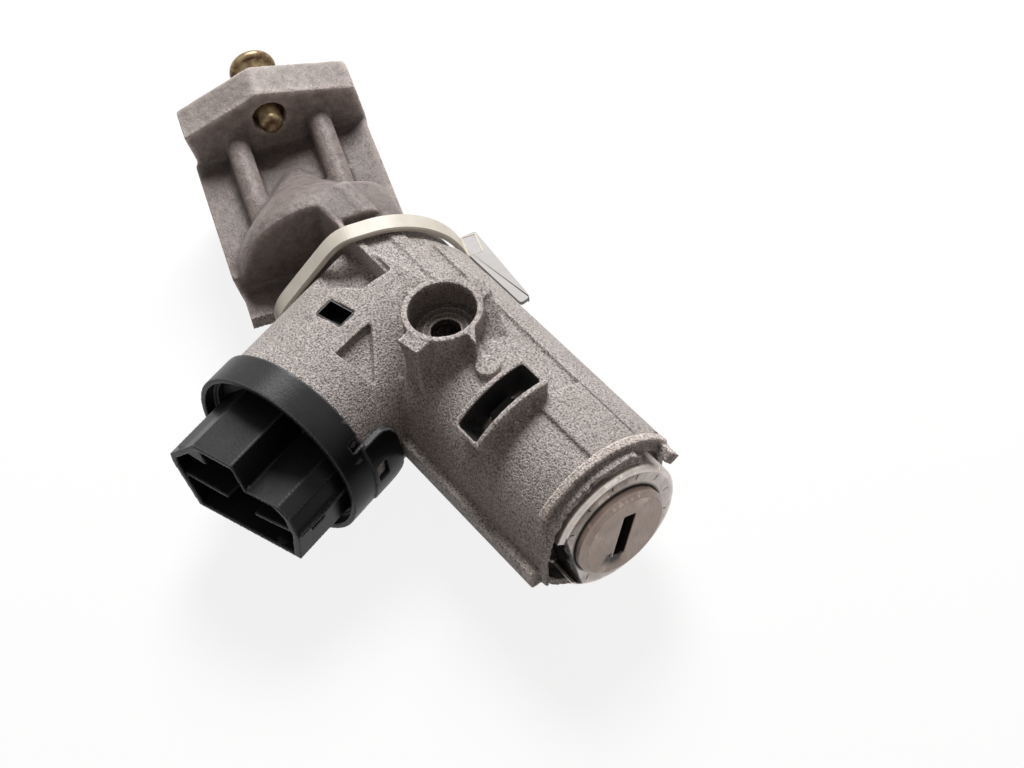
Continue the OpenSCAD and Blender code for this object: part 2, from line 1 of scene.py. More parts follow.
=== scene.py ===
# %% [markdown]
# # Ignition switch with steering lock
# The solids of the part arrive as a fixed frame. This script dresses them: it softens the knife edges of
# castings and mouldings, adds small forms such as the teeth of the tie, and gives each surface its grain, wear
# and dirt, with painted shade in hollows, slots and shadowed places. Everything is in metres, in the part's own
# frame. The plug turns about X and its end of the barrel is at +X. The screw cup on the barrel points up along Z.

# %% Load the solids
import math
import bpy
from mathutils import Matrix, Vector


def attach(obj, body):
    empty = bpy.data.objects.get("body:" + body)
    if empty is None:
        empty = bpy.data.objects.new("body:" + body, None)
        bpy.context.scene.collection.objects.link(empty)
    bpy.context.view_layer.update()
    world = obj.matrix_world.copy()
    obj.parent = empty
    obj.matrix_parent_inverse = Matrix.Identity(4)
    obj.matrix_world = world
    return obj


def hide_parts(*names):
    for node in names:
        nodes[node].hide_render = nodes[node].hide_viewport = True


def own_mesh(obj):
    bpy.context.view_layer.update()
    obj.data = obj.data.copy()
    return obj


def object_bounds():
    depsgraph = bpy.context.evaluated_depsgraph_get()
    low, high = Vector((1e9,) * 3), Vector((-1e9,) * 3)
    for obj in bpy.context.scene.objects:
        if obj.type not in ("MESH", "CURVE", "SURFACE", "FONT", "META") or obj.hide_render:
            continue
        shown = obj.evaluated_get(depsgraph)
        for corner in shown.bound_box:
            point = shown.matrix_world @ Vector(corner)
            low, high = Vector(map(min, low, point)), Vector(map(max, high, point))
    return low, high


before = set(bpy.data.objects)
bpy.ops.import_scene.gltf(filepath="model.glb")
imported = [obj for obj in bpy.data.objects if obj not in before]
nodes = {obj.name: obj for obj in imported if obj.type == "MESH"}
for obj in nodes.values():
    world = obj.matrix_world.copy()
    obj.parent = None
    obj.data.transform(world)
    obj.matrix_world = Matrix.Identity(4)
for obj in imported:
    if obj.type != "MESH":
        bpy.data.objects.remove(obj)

from types import SimpleNamespace

import bmesh
import bpy
from mathutils import Matrix, Vector, noise

cad_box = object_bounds()
MM = 0.001
print("solids:", len(nodes), "box from", [round(c / MM, 1) for c in cad_box[0]],
      "to", [round(c / MM, 1) for c in cad_box[1]])

# %% [markdown]
# ## Camera
# The camera looks down on the part from the front. Its turn, height and tilt were read from the ellipses and
# the straight edges of the photograph. A camera can be aimed with a constraint, but here its three axes are
# worked out and written into its matrix, because that gives the tilt as well. A small shift frames the part.

# %% Camera
TURN, HEIGHT, TILT = 61.16, 51.84, -10.15
FOCAL_LENGTH, DISTANCE = 74.78, 467.48
LOOKED_AT = Vector((-45 * MM, -5 * MM, 0))


def camera_axes(turn, height, tilt):
    a, e, t = (math.radians(v) for v in (turn, height, tilt))
    back = Vector((math.sin(a) * math.cos(e), -math.cos(a) * math.cos(e), math.sin(e)))
    right = (-back).cross(Vector((0, 0, 1))).normalized()
    up = right.cross(-back)
    return right * math.cos(t) + up * math.sin(t), up * math.cos(t) - right * math.sin(t), back


right, up, back = camera_axes(TURN, HEIGHT, TILT)
lens = bpy.data.cameras.new("camera")
lens.sensor_width = 36
lens.lens = FOCAL_LENGTH
lens.shift_x = 0.0437
lens.shift_y = 0.0257
lens.clip_start = 0.01
lens.clip_end = 20
camera = bpy.data.objects.new("camera", lens)
bpy.context.scene.collection.objects.link(camera)
place = LOOKED_AT + back * DISTANCE * MM
camera.matrix_world = Matrix.Translation(place) @ Matrix((right, up, back)).transposed().to_4x4()
bpy.context.scene.camera = camera
bpy.context.scene.view_settings.view_transform = "Standard"
print("camera at", [round(c / MM) for c in place], "mm with a lens of", FOCAL_LENGTH, "mm")

# %% [markdown]
# ## Nodes in few words
# The world, the floor and every finish are made of shader nodes. In the editor a node is added, its values are
# typed in and its sockets are joined by hand. Short helpers do the same here, so that a finish reads like a
# recipe: node_after adds a node and joins it, sums is one step of arithmetic, and blend_colour lays one colour
# over another.

# %% Node helpers
def node_after(tree, kind, links, **settings):
    made = tree.nodes.new(kind)
    for key, value in settings.items():
        if key in made.inputs:
            made.inputs[key].default_value = value
        else:
            setattr(made, key, value)
    for key, output in links.items():
        tree.links.new(output, made.inputs[key])
    return made


def fill(tree, socket, value):
    # a colour or a number is set on the socket itself, and anything else is an output to join to it
    if isinstance(value, tuple):
        socket.default_value = (*value, 1)
    elif isinstance(value, (int, float)):
        socket.default_value = value
    else:
        tree.links.new(value, socket)


def sums(tree, operation, a, b=0.0):
    made = node_after(tree, "ShaderNodeMath", {}, operation=operation)
    fill(tree, made.inputs[0], a)
    fill(tree, made.inputs[1], b)
    return made.outputs[0]


def blend_colour(tree, fac, a, b, mode="MIX"):
    made = node_after(tree, "ShaderNodeMix", {}, data_type="RGBA", blend_type=mode)
    for number, value in ((0, fac), (6, a), (7, b)):
        fill(tree, made.inputs[number], value)
    return made.outputs[2]


print("node helpers are ready")

# %% [markdown]
# ## White surroundings
# The background of the photograph is plain white. A white world would give that, but it would also flood the
# part with light. So the world is white only for rays from the camera and for rays that mirror or pass through.
# All other rays see a soft warm grey, which lights the part gently.

# %% World
SOFT_GREY = (0.134, 0.117, 0.111)


def seen_directly(tree):
    path = tree.nodes.new("ShaderNodeLightPath").outputs
    mirrored = sums(tree, "MAXIMUM", path["Is Camera Ray"], path["Is Glossy Ray"])
    return sums(tree, "MAXIMUM", mirrored, path["Is Transmission Ray"])


world = bpy.data.worlds.new("studio")
bpy.context.scene.world = world
world.use_nodes = True
tree = world.node_tree
soft = tree.nodes["Background"]
soft.inputs["Color"].default_value = (*SOFT_GREY, 1)
white = node_after(tree, "ShaderNodeBackground", {}, Color=(1, 1, 1, 1))
either = node_after(tree, "ShaderNodeMixShader",
                    {0: seen_directly(tree), 1: soft.outputs[0], 2: white.outputs[0]})
tree.links.new(either.outputs[0], tree.nodes["World Output"].inputs["Surface"])
print("soft light of", SOFT_GREY)

# %% [markdown]
# ## Floor
# The part lies on something white. A large flat grid is enough, because the camera never sees its rim. Most of
# what the camera sees of it is a plain white glow, and the rest is matt paper that takes the part's shadow.
# For light that bounces from it to the part the paper is darker, so the near faces of the part stay dark.

# %% Floor
FLOOR_HALF = 3.0
FLOOR_GAP = 0.2
GLOW_SHARE = 0.86
PAPER_BOUNCE, PAPER_SEEN = (0.275, 0.245, 0.235), (0.9, 0.9, 0.9)


def show(name, bm, *skins):
    mesh = bpy.data.meshes.new(name)
    bm.to_mesh(mesh)
    bm.free()
    for skin in skins:
        mesh.materials.append(skin)
    obj = bpy.data.objects.new(name, mesh)
    bpy.context.scene.collection.objects.link(obj)
    return obj


paper = bpy.data.materials.new("paper")
paper.use_nodes = True
tree = paper.node_tree
seen = seen_directly(tree)
matt = tree.nodes["Principled BSDF"]
matt.inputs["Roughness"].default_value = 0.9
tree.links.new(blend_colour(tree, seen, PAPER_BOUNCE, PAPER_SEEN), matt.inputs["Base Color"])
glow = node_after(tree, "ShaderNodeEmission", {}, Color=(1, 1, 1, 1))
share = sums(tree, "MULTIPLY", seen, GLOW_SHARE)
either = node_after(tree, "ShaderNodeMixShader", {0: share, 1: matt.outputs[0], 2: glow.outputs[0]})
tree.links.new(either.outputs[0], tree.nodes["Material Output"].inputs["Surface"])

bm = bmesh.new()
bmesh.ops.create_grid(bm, x_segments=8, y_segments=8, size=FLOOR_HALF)
bmesh.ops.translate(bm, verts=bm.verts, vec=(0, 0, cad_box[0].z - FLOOR_GAP * MM))
floor = show("floor", bm, paper)
print("floor at", round(floor.data.vertices[0].co.z / MM, 1), "mm")

# %% [markdown]
# ## Lamp
# One wide lamp stands above and behind the part. It makes the top faces bright and leaves the near faces darker,
# as in the photograph. More lamps would fill those shadows and flatten the casting, so there is only one.

# %% Lamp
LAMP_WAY = Vector((-0.5, 0.42, 0.76)).normalized()
LAMP_DISTANCE, LAMP_SIZE, LAMP_POWER = 0.9, 0.42, 11.0
LIT_MIDDLE = Vector((-55 * MM, -10 * MM, 0))

bulb = bpy.data.lights.new("top", "AREA")
bulb.shape = "DISK"
bulb.size = LAMP_SIZE
bulb.energy = LAMP_POWER
lamp = bpy.data.objects.new("top", bulb)
bpy.context.scene.collection.objects.link(lamp)
lamp.matrix_world = (Matrix.Translation(LIT_MIDDLE + LAMP_WAY * LAMP_DISTANCE)
                     @ LAMP_WAY.to_track_quat("Z", "Y").to_matrix().to_4x4())
print("lamp of", LAMP_POWER, "W and", LAMP_SIZE, "m across")

# %% [markdown]
# ## Finishes
# Each finish is a Principled shader fed by noise. A texture could follow an unwrapped map, but the pieces are
# solid metal and plastic, so the noise sits in object coordinates and the grain keeps its real size. Scales
# are per metre: a scale of 1000 gives spots of about a millimetre.

# %% Finish helpers
def finish(name, colour, metal, rough):
    made = bpy.data.materials.new(name)
    made.use_nodes = True
    tree = made.node_tree
    shader = tree.nodes["Principled BSDF"]
    shader.inputs["Base Color"].default_value = (*colour, 1)
    shader.inputs["Metallic"].default_value = metal
    shader.inputs["Roughness"].default_value = rough
    return made, tree, shader, tree.nodes.new("ShaderNodeTexCoord").outputs["Object"]


def grain(tree, at, scale, detail=3.0, rough=0.6):
    return node_after(tree, "ShaderNodeTexNoise", {"Vector": at}, Scale=scale, Detail=detail,
                      Roughness=rough).outputs["Fac"]


def cells(tree, at, scale):
    return node_after(tree, "ShaderNodeTexVoronoi", {"Vector": at}, Scale=scale).outputs["Distance"]


def ramp(tree, fac, *stops):
    made = node_after(tree, "ShaderNodeValToRGB", {"Fac": fac})
    keys = made.color_ramp.elements
    while len(keys) < len(stops):
        keys.new(0.5)
    for key, (where, value) in zip(keys, stops):
        key.position = where
        key.color = (*value, 1) if isinstance(value, tuple) else (value, value, value, 1)
    return made.outputs["Color"]


def tint(tree, base, by, share=1.0):
    return blend_colour(tree, share, base, by, "MULTIPLY")


def bumps(tree, shader, height, depth, under=None):
    links = {"Height": height}
    if under is not None:
        links["Normal"] = under
    made = node_after(tree, "ShaderNodeBump", links, Distance=depth, Strength=1.0)
    tree.links.new(made.outputs[0], shader.inputs["Normal"])
    return made.outputs[0]


print("grain of scale 1000 has spots of", 1 / 1000 / MM, "mm")

# %% [markdown]
# ## Masks
# Wear, dirt and painted shade sit in certain places: on edges, in hollows, round the plug, in the screw cup. Such
# a place could be painted by hand. Here it is measured, so that it stays right when a solid changes: a fade is 0
# on one side of a limit and 1 on the other, and a few fades multiplied together mark a region. The mesh itself
# tells where an edge is (pointiness) and which way a face looks (its normal).

# %% Mask helpers
def fade(tree, value, start, end):
    made = node_after(tree, "ShaderNodeMapRange", {0: value})
    for number, limit in zip((1, 2, 3, 4), (start, end, 0.0, 1.0)):
        made.inputs[number].default_value = limit
    return made.outputs[0]


def fade_mm(tree, value, start, end):
    return fade(tree, value, start * MM, end * MM)


def fade_degrees(tree, value, start, end):
    return fade(tree, value, math.radians(start), math.radians(end))


def all_of(tree, mask, *others):
    for other in others:
        mask = sums(tree, "MULTIPLY", mask, other)
    return mask


def any_of(tree, mask, *others):
    for other in others:
        mask = sums(tree, "MAXIMUM", mask, other)
    return mask


print("mask helpers are ready")

# %% Place helpers
def edge_of(tree):
    return tree.nodes.new("ShaderNodeNewGeometry").outputs["Pointiness"]


def up_facing(tree):
    normal = tree.nodes.new("ShaderNodeNewGeometry").outputs["Normal"]
    return node_after(tree, "ShaderNodeSeparateXYZ", {0: normal}).outputs[2]


def distance_along(tree, at, way):
    made = node_after(tree, "ShaderNodeVectorMath", {0: at}, operation="DOT_PRODUCT")
    made.inputs[1].default_value = way
    return made.outputs["Value"]


def distance_from_middle(tree, a, b):
    return sums(tree, "SQRT", sums(tree, "ADD", sums(tree, "MULTIPLY", a, a), sums(tree, "MULTIPLY", b, b)))


def round_barrel(tree, at):
    # where a point is: along the barrel, how far from its middle line, and its turn from the top
    x, y, z = node_after(tree, "ShaderNodeSeparateXYZ", {0: at}).outputs
    return SimpleNamespace(at=at, x=x, y=y, z=z, reach=distance_from_middle(tree, y, z),
                           turn=sums(tree, "ARCTAN2", y, z))


print("place helpers are ready")

# %% [markdown]
# ## Cast metal: skin
# The housing is die-cast in a warm grey zinc alloy. Its barrel and branch keep a coarse, pebbly skin with dark
# pits, and the bracket behind the tie is smoother. Two finishes could meet there, but the casting is one piece,
# so one finish fades from coarse to smooth along the bracket.

# %% Cast skin
REARWARD = (-0.94206, 0.33545, 0)  # the bracket's own way to the rear, as a unit vector
SMOOTH_FROM, SMOOTH_TO = 84.5, 87.5

cast, tree, shader, at = finish("cast_metal", (0.42, 0.385, 0.365), 0.05, 0.5)
shader.inputs["Specular IOR Level"].default_value = 0.3
rearward = distance_along(tree, at, REARWARD)
behind_tie = fade_mm(tree, rearward, SMOOTH_FROM, SMOOTH_TO)
coarse_part = sums(tree, "SUBTRACT", 1.0, sums(tree, "MULTIPLY", behind_tie, 0.8))
clouds = grain(tree, at, 70, 5.0, 0.65)
pebbles = grain(tree, at, 2300, 2.0)
base = ramp(tree, clouds, (0.3, (0.35, 0.309, 0.287)), (0.52, (0.42, 0.378, 0.355)),
            (0.72, (0.48, 0.443, 0.42)))
base = tint(tree, base, ramp(tree, pebbles, (0.36, 0.33), (0.46, 0.86), (0.55, 1.05), (0.64, 1.45)),
            coarse_part)
base = tint(tree, base, ramp(tree, cells(tree, at, 1500), (0.06, 0.55), (0.16, 1.0)), coarse_part)
tree.links.new(ramp(tree, pebbles, (0.3, 0.62), (0.7, 0.4)), shader.inputs["Roughness"])
patches = grain(tree, at, 420, 4.0, 0.65)
low_bumps = bumps(tree, shader, sums(tree, "MULTIPLY", patches, behind_tie), 0.5 * MM)
bumps(tree, shader, sums(tree, "MULTIPLY", pebbles, coarse_part), 0.45 * MM, low_bumps)
print("cast skin turns smooth", SMOOTH_FROM, "to", SMOOTH_TO, "mm to the rear")

# %% [markdown]
# ## Cast metal: wear, grime and painted shade
# Handling rubs the edges bright, and hollows are painted darker, partly as dirt and partly as painted shade.
# Pointiness finds both. On the bracket the upper faces are painted darker as painted shade, with patchy dirt,
# and the part before the flange is darker still, as the flange's painted shadow.

# %% Cast wear, grime and painted shade
edges = edge_of(tree)
# edges lighter from wear; hollows painted darker, partly dirt and partly painted shade
wear_and_hollow_shade = ramp(tree, edges, (0.42, 0.0), (0.5, 0.45), (0.56, 1.0))
base = tint(tree, base, ramp(tree, wear_and_hollow_shade, (0.0, 0.4), (0.45, 1.0), (1.0, 1.45)))
# painted shade: the bracket's upper faces and hollows darker, with patchy dirt and lighter worn edges
grime_and_shade = tint(tree, ramp(tree, up_facing(tree), (0.25, (0.98, 0.95, 0.94)), (0.95, (0.62, 0.595, 0.585))),
             ramp(tree, patches, (0.3, 0.72), (0.5, 1.0), (0.68, 1.22)))
grime_and_shade = tint(tree, grime_and_shade, ramp(tree, edges, (0.47, 0.55), (0.5, 1.0), (0.522, 1.7), (0.56, 0.7)))
base = tint(tree, base, grime_and_shade, behind_tie)
# painted shadow of the flange: the bracket before it is darker still
painted_flange_shadow = fade_mm(tree, rearward, 134, 131.5)
base = tint(tree, base, (0.63, 0.61, 0.61), all_of(tree, behind_tie, painted_flange_shadow))
print("cast metal is worn on its edges and grimy behind the tie")

# %% [markdown]
# ## Cast metal: the front end
# Behind the rim a recess runs round the cylinder and is painted dark as painted shade, and a bare collar outside
# it is a little brighter. A thin line along the barrel shows where the two halves of the mould met. All three are
# found by how far a point is from the middle of the barrel and how far it is turned from the top.

# %% Cast front end
PARTING_TURN = 32.7

spot = round_barrel(tree, at)
# painted shade in the recess behind the rim
recess_shade = all_of(tree, fade_mm(tree, spot.reach, 18.0, 17.6), fade_mm(tree, spot.x, -10, -8),
                fade_mm(tree, spot.x, -0.8, -2.2))
base = blend_colour(tree, recess_shade, base, (0.07, 0.062, 0.056))
collar = all_of(tree, fade_mm(tree, spot.reach, 19.7, 20.2), fade_mm(tree, spot.x, -5.2, -4.6))
base = tint(tree, base, (1.4, 1.38, 1.36), collar)
off_line = sums(tree, "ABSOLUTE", sums(tree, "SUBTRACT", spot.turn, math.radians(PARTING_TURN)))
parting = all_of(tree, fade_degrees(tree, off_line, 0.75, 0.3), fade_mm(tree, spot.x, -26, -22),
                 fade_mm(tree, spot.x, -4.8, -5.4))
base = tint(tree, base, (0.35, 0.34, 0.33), parting)
print("parting line at", PARTING_TURN, "degrees from the top")

# %% [markdown]
# ## Cast metal: screw cup and catch window
# The cup is machined, so its floor shows fine rings. The whole cup is painted darker and its hole near black, as
# painted shade. The catch window is painted near black, as painted shade for the dark inside of the barrel. Rings
# could be turned in the mesh, but they are finer than its squares after rounding, so a ramp over the distance from
# the cup's middle draws them.

# %% Cast cup and window
CUP_X, CUP_Y = -53.6, -2.0
CUP_RINGS_AND_HOLE_SHADE = ((0.43, 0.06), (0.46, 1.9), (0.50, 0.7), (0.60, 0.8), (0.635, 2.0), (0.68, 0.6), (0.80, 0.9),
             (0.84, 1.7), (0.88, 0.5))

from_cup = distance_from_middle(tree, sums(tree, "SUBTRACT", spot.x, CUP_X * MM),
                                sums(tree, "SUBTRACT", spot.y, CUP_Y * MM))
in_cup = all_of(tree, fade_mm(tree, from_cup, 7.8, 7.45), fade_mm(tree, spot.z, 24.3, 22.5),
                fade_mm(tree, spot.z, 12, 13))
# painted shade: the whole cup darker
base = tint(tree, base, (0.55, 0.53, 0.52), in_cup)
cup_floor = all_of(tree, in_cup, fade_mm(tree, spot.z, 18.2, 17.7))
# turned rings, with the hole in their middle painted near black as painted shade
base = tint(tree, base, ramp(tree, fade_mm(tree, from_cup, 0.0, 7.6), *CUP_RINGS_AND_HOLE_SHADE), cup_floor)
# painted shade: the inside of the catch window near black
catch_window_shade = all_of(tree, fade_mm(tree, spot.reach, 23.9, 23.5), fade_mm(tree, spot.x, -31.4, -31.0),
                fade_mm(tree, spot.x, -24.0, -24.4), fade_degrees(tree, spot.turn, -43.2, -42.2),
                fade_degrees(tree, spot.turn, 7.2, 6.2))
base = blend_colour(tree, catch_window_shade, base, (0.01, 0.0095, 0.009))
tree.links.new(base, shader.inputs["Base Color"])
print("cast metal has", len(tree.nodes), "nodes")

# %% [markdown]
# ## Nickel
# The sleeve and the plug are nickel plated and turned to a satin sheen. Noise that is stretched along one axis
# gives the fine scratches, and a second noise the uneven film. Where two pieces meet and in what is cut into
# them, the metal is painted dark as painted shade, so each piece brings its own mask for it.

# %% Nickel
# one dark colour for painted shade and for the sleeve's ticks
SHADE_AND_TICK_COLOUR = (0.03, 0.026, 0.023)


def dress(tree, shader, base, height, depth, rough=None):
    tree.links.new(base, shader.inputs["Base Color"])
    if rough is not None:
        tree.links.new(rough, shader.inputs["Roughness"])
    bumps(tree, shader, height, depth)


def plated(name, low, middle, high, metal, shade_and_marks):
    made, tree, shader, at = finish(name, middle, metal, 0.38)
    stretched = node_after(tree, "ShaderNodeMapping", {"Vector": at}, Scale=(1.0, 1.0, 0.06))
    scratches = grain(tree, stretched.outputs[0], 5200, 2.0)
    base = ramp(tree, grain(tree, at, 240, 4.0), (0.3, low), (0.55, middle), (0.75, high))
    base = tint(tree, base, ramp(tree, cells(tree, at, 520), (0.03, 0.25), (0.08, 1.0)))
    # edges lighter, and creases painted darker as painted shade
    base = tint(tree, base, ramp(tree, edge_of(tree), (0.4, 0.35), (0.49, 1.0), (0.56, 1.6)))
    base = tint(tree, base, ramp(tree, scratches, (0.3, 0.84), (0.5, 1.0), (0.66, 1.16)))
    # painted shade, and the sleeve's ticks, in the dark colour
    base = blend_colour(tree, shade_and_marks(tree, round_barrel(tree, at)), base, SHADE_AND_TICK_COLOUR)
    dress(tree, shader, base, scratches, 0.05 * MM, ramp(tree, scratches, (0.3, 0.3), (0.7, 0.48)))
    print(name, "has", len(tree.nodes), "nodes")
    return made


# %% Sleeve and plug finish
CUT_AWAY = (0, -0.9925, -0.1219)  # the way from the barrel's middle to the sleeve's cut-away
TICK_HALF_STEP = 14


def sleeve_shade_and_ticks(tree, spot):
    # painted shade round the plug and on the floor of the cut-away, and plain ticks on the face
    gap = fade_mm(tree, spot.reach, 12.1, 11.6)
    cut = all_of(tree, fade_mm(tree, distance_along(tree, spot.at, CUT_AWAY), 11.3, 11.7),
                 fade_mm(tree, spot.reach, 15.3, 15.0))
    to_tick = sums(tree, "PINGPONG", spot.turn, math.radians(TICK_HALF_STEP))
    ticks = all_of(tree, fade_degrees(tree, to_tick, 1.0, 0.5), fade_mm(tree, spot.reach, 12.6, 12.8),
                   fade_mm(tree, spot.reach, 14.2, 14.0), fade_mm(tree, spot.x, 0.0, 0.2))
    return any_of(tree, gap, cut, ticks)


def plug_shade(tree, spot):
    # painted shade inside the key slot, in a thin line where the face meets its bevel, and down the side
    slot = all_of(tree, fade_mm(tree, spot.x, 3.1, 2.8), fade_mm(tree, spot.reach, 9.6, 9.4))
    off_line = sums(tree, "ABSOLUTE", sums(tree, "SUBTRACT", spot.reach, 10.1 * MM))
    line = sums(tree, "MULTIPLY", fade_mm(tree, off_line, 0.2, 0.05), 0.3)
    side = sums(tree, "MULTIPLY", fade_mm(tree, spot.x, 1.4, 0.9), 0.8)
    return any_of(tree, slot, line, side)


nickel = plated("nickel", (0.48, 0.425, 0.39), (0.60, 0.54, 0.50), (0.70, 0.645, 0.605), 0.68, sleeve_shade_and_ticks)
plug_nickel = plated("plug_nickel", (0.35, 0.272, 0.228), (0.42, 0.335, 0.288), (0.49, 0.41, 0.36), 0.36,
                     plug_shade)

# %% [markdown]
# ## Black plastic
# The switch is moulded in black plastic with a fine spark-eroded skin. Plain black would hide its shape, so
# upper faces are painted lighter as painted light from above, with a little dust, edges are rubbed grey and
# corners are painted darkest as painted shade.

# %% Black plastic
plastic, tree, shader, at = finish("black_plastic", (0.012, 0.012, 0.0125), 0.0, 0.33)
shader.inputs["Specular IOR Level"].default_value = 0.1
skin = grain(tree, at, 1500)
edges = edge_of(tree)
# painted light: upper faces lighter, with patchy dust
base = tint(tree, ramp(tree, up_facing(tree), (0.5, (0.007, 0.007, 0.0073)), (0.92, (0.036, 0.036, 0.038))),
            ramp(tree, grain(tree, at, 90, 4.0), (0.35, 0.75), (0.7, 1.3)))
base = blend_colour(tree, ramp(tree, edges, (0.505, 0.0), (0.55, 0.85)), base, (0.12, 0.12, 0.124))
# painted shade: corners darkest
base = blend_colour(tree, ramp(tree, edges, (0.43, 0.9), (0.49, 0.0)), base, (0.006, 0.006, 0.006))
dress(tree, shader, base, skin, 0.04 * MM, ramp(tree, skin, (0.3, 0.28), (0.7, 0.38)))
print("black plastic has", len(tree.nodes), "nodes")

# %% [markdown]
# ## Yellow zinc
# The bolt is zinc plated and passivated, which gives a yellow film with brown and greenish patches. One noise
# runs through those colours in a ramp, and a finer one breaks up the gloss.

# %% Yellow zinc
zinc, tree, shader, at = finish("yellow_zinc", (0.27, 0.19, 0.09), 0.45, 0.38)
fine = grain(tree, at, 2400, 2.0)
base = ramp(tree, grain(tree, at, 420), (0.32, (0.09, 0.05, 0.03)), (0.46, (0.22, 0.14, 0.07)),
            (0.58, (0.34, 0.26, 0.13)), (0.72, (0.30, 0.27, 0.19)))
dress(tree, shader, base, fine, 0.05 * MM, ramp(tree, fine, (0.3, 0.26), (0.7, 0.46)))
print("yellow zinc has", len(tree.nodes), "nodes")

# %% [markdown]
# ## Nylon
# The tie is cream nylon. Light goes a little way into it, so it gets some subsurface scattering with a radius of
# about a millimetre. Its flag is thin and paler, and it is kept below white so that its edge shows on the floor.

# %% Nylon
nylon, tree, shader, at = finish("nylon", (0.55, 0.51, 0.44), 0.0, 0.45)
shader.inputs["Subsurface Weight"].default_value = 0.25
shader.inputs["Subsurface Radius"].default_value = (1.0 * MM, 0.8 * MM, 0.5 * MM)
base = ramp(tree, grain(tree, at, 160), (0.3, (0.56, 0.515, 0.43)), (0.7, (0.66, 0.62, 0.54)))
dress(tree, shader, base, grain(tree, at, 1800, 2.0), 0.02 * MM)

flag_nylon, tree, shader, at = finish("flag_nylon", (0.44, 0.43, 0.42), 0.0, 0.5)
shader.inputs["Specular IOR Level"].default_value = 0.2
haze = grain(tree, at, 220)
base = ramp(tree, haze, (0.3, (0.415, 0.40, 0.39)), (0.7, (0.47, 0.455, 0.445)))
dress(tree, shader, base, haze, 0.03 * MM)
print("finishes:", nylon.name, "and", flag_nylon.name)

# %% [markdown]
# ## Finishes for the inside
# Steel, brass, copper, tinned blades and pale plastic are hidden in the closed part, but they show when it is
# taken apart. They differ only in colour and gloss, so one function makes the metals and one the plastic.

# %% Inside finishes
def plain_metal(name, low, high, rough):
    made, tree, shader, at = finish(name, high, 0.85, rough)
    fine = grain(tree, at, 1600)
    dress(tree, shader, ramp(tree, grain(tree, at, 180), (0.3, low), (0.7, high)), fine, 0.03 * MM,
          ramp(tree, fine, (0.3, rough - 0.08), (0.7, rough + 0.1)))
    return made


def plain_plastic(name, low, high, rough):
    made, tree, shader, at = finish(name, high, 0.0, rough)
    dress(tree, shader, ramp(tree, grain(tree, at, 120), (0.3, low), (0.7, high)),
          grain(tree, at, 1700, 2.0), 0.03 * MM)
    return made


steel = plain_metal("steel", (0.42, 0.42, 0.43), (0.56, 0.56, 0.57), 0.34)
brass = plain_metal("brass", (0.56, 0.40, 0.16), (0.72, 0.55, 0.25), 0.32)
copper = plain_metal("copper", (0.52, 0.28, 0.16), (0.70, 0.43, 0.27), 0.3)
tin = plain_metal("dark_tin", (0.05, 0.045, 0.04), (0.10, 0.09, 0.08), 0.45)
pale = plain_plastic("pale_plastic", (0.74, 0.71, 0.62), (0.84, 0.81, 0.73), 0.45)
print("finishes:", [skin.name for skin in (steel, brass, copper, tin, pale)])

# %% [markdown]
# ## Solids that stay as they are
# What sits inside keeps its CAD shape and only gets a finish. Its edges could be rounded as well, but nobody
# sees them, and the plain solids keep the file light.

# %% Inside pieces
inside = {
    steel: ("drive_shaft", "return_spring", "lock_bolt", "cover_pins", "contact_springs"),
    # the catch is dressed in black plastic as painted shade, since it sits in the dark of the catch window
    plastic: ("cylinder_catch",),
    cast: ("shaft_bearing", "drive_gear", "lock_cam", "bolt_cover"),
    brass: ("wafer_tumblers",),
    tin: ("blade_terminals",),
    copper: ("contact_bridge",),
    pale: ("switch_gear", "switch_rotor"),
}
for skin, names in inside.items():
    for name in names:
        nodes[name].data.materials.clear()
        nodes[name].data.materials.append(skin)
print("inside pieces:", sum(len(names) for names in inside.values()))

# %% [markdown]
# ## Rounding the solids
# A CAD solid has knife edges, and a casting or a moulding has none. A bevel would round them, but it fails where
# many curved faces meet. Instead a merged copy of the solid is remeshed into small even squares and smoothed a
# few times, which rounds every edge and fillets every corner alike. The flat areas are then thinned out again.

# %% Mesh helpers
def merged(node):
    bm = bmesh.new()
    bm.from_mesh(nodes[node].data)
    bmesh.ops.remove_doubles(bm, verts=bm.verts, dist=0.002 * MM)
    bmesh.ops.recalc_face_normals(bm, faces=bm.faces)
    return bm


def bake(obj):
    made = bpy.data.meshes.new_from_object(obj.evaluated_get(bpy.context.evaluated_depsgraph_get()))
    obj.modifiers.clear()
    obj.data = made


def triangles(obj):
    return sum(len(p.vertices) - 2 for p in obj.data.polygons)


def shade_smooth(obj):
    for face in obj.data.polygons:
        face.use_smooth = True


print("the housing's solid has", triangles(nodes["lock_housing"]), "triangles")

# %% Rounding helper
def calmed(obj, passes, group=""):
    calm = obj.modifiers.new("calm", "SMOOTH")
    calm.factor = 0.5
    calm.iterations = passes
    calm.vertex_group = group
    bake(obj)


def rounded(obj, skin, voxel, passes, most, softer=None, more=0):
    even = obj.modifiers.new("even", "REMESH")
    even.mode = "VOXEL"
    even.voxel_size = voxel * MM
    even.use_smooth_shade = True
    calmed(obj, passes)
    if softer:
        group = obj.vertex_groups.new(name="softer")
        group.add([v.index for v in obj.data.vertices if softer(v.co / MM)], 1.0, "REPLACE")
        calmed(obj, more, group.name)
        obj.vertex_groups.clear()
    count = triangles(obj)
    if count > most:
        thin = obj.modifiers.new("thin", "DECIMATE")
        thin.ratio = most / count
        bake(obj)
    obj.data.materials.clear()
    obj.data.materials.append(skin)
    shade_smooth(obj)
    print(obj.name, "from", count, "to", triangles(obj), "triangles")
    return obj


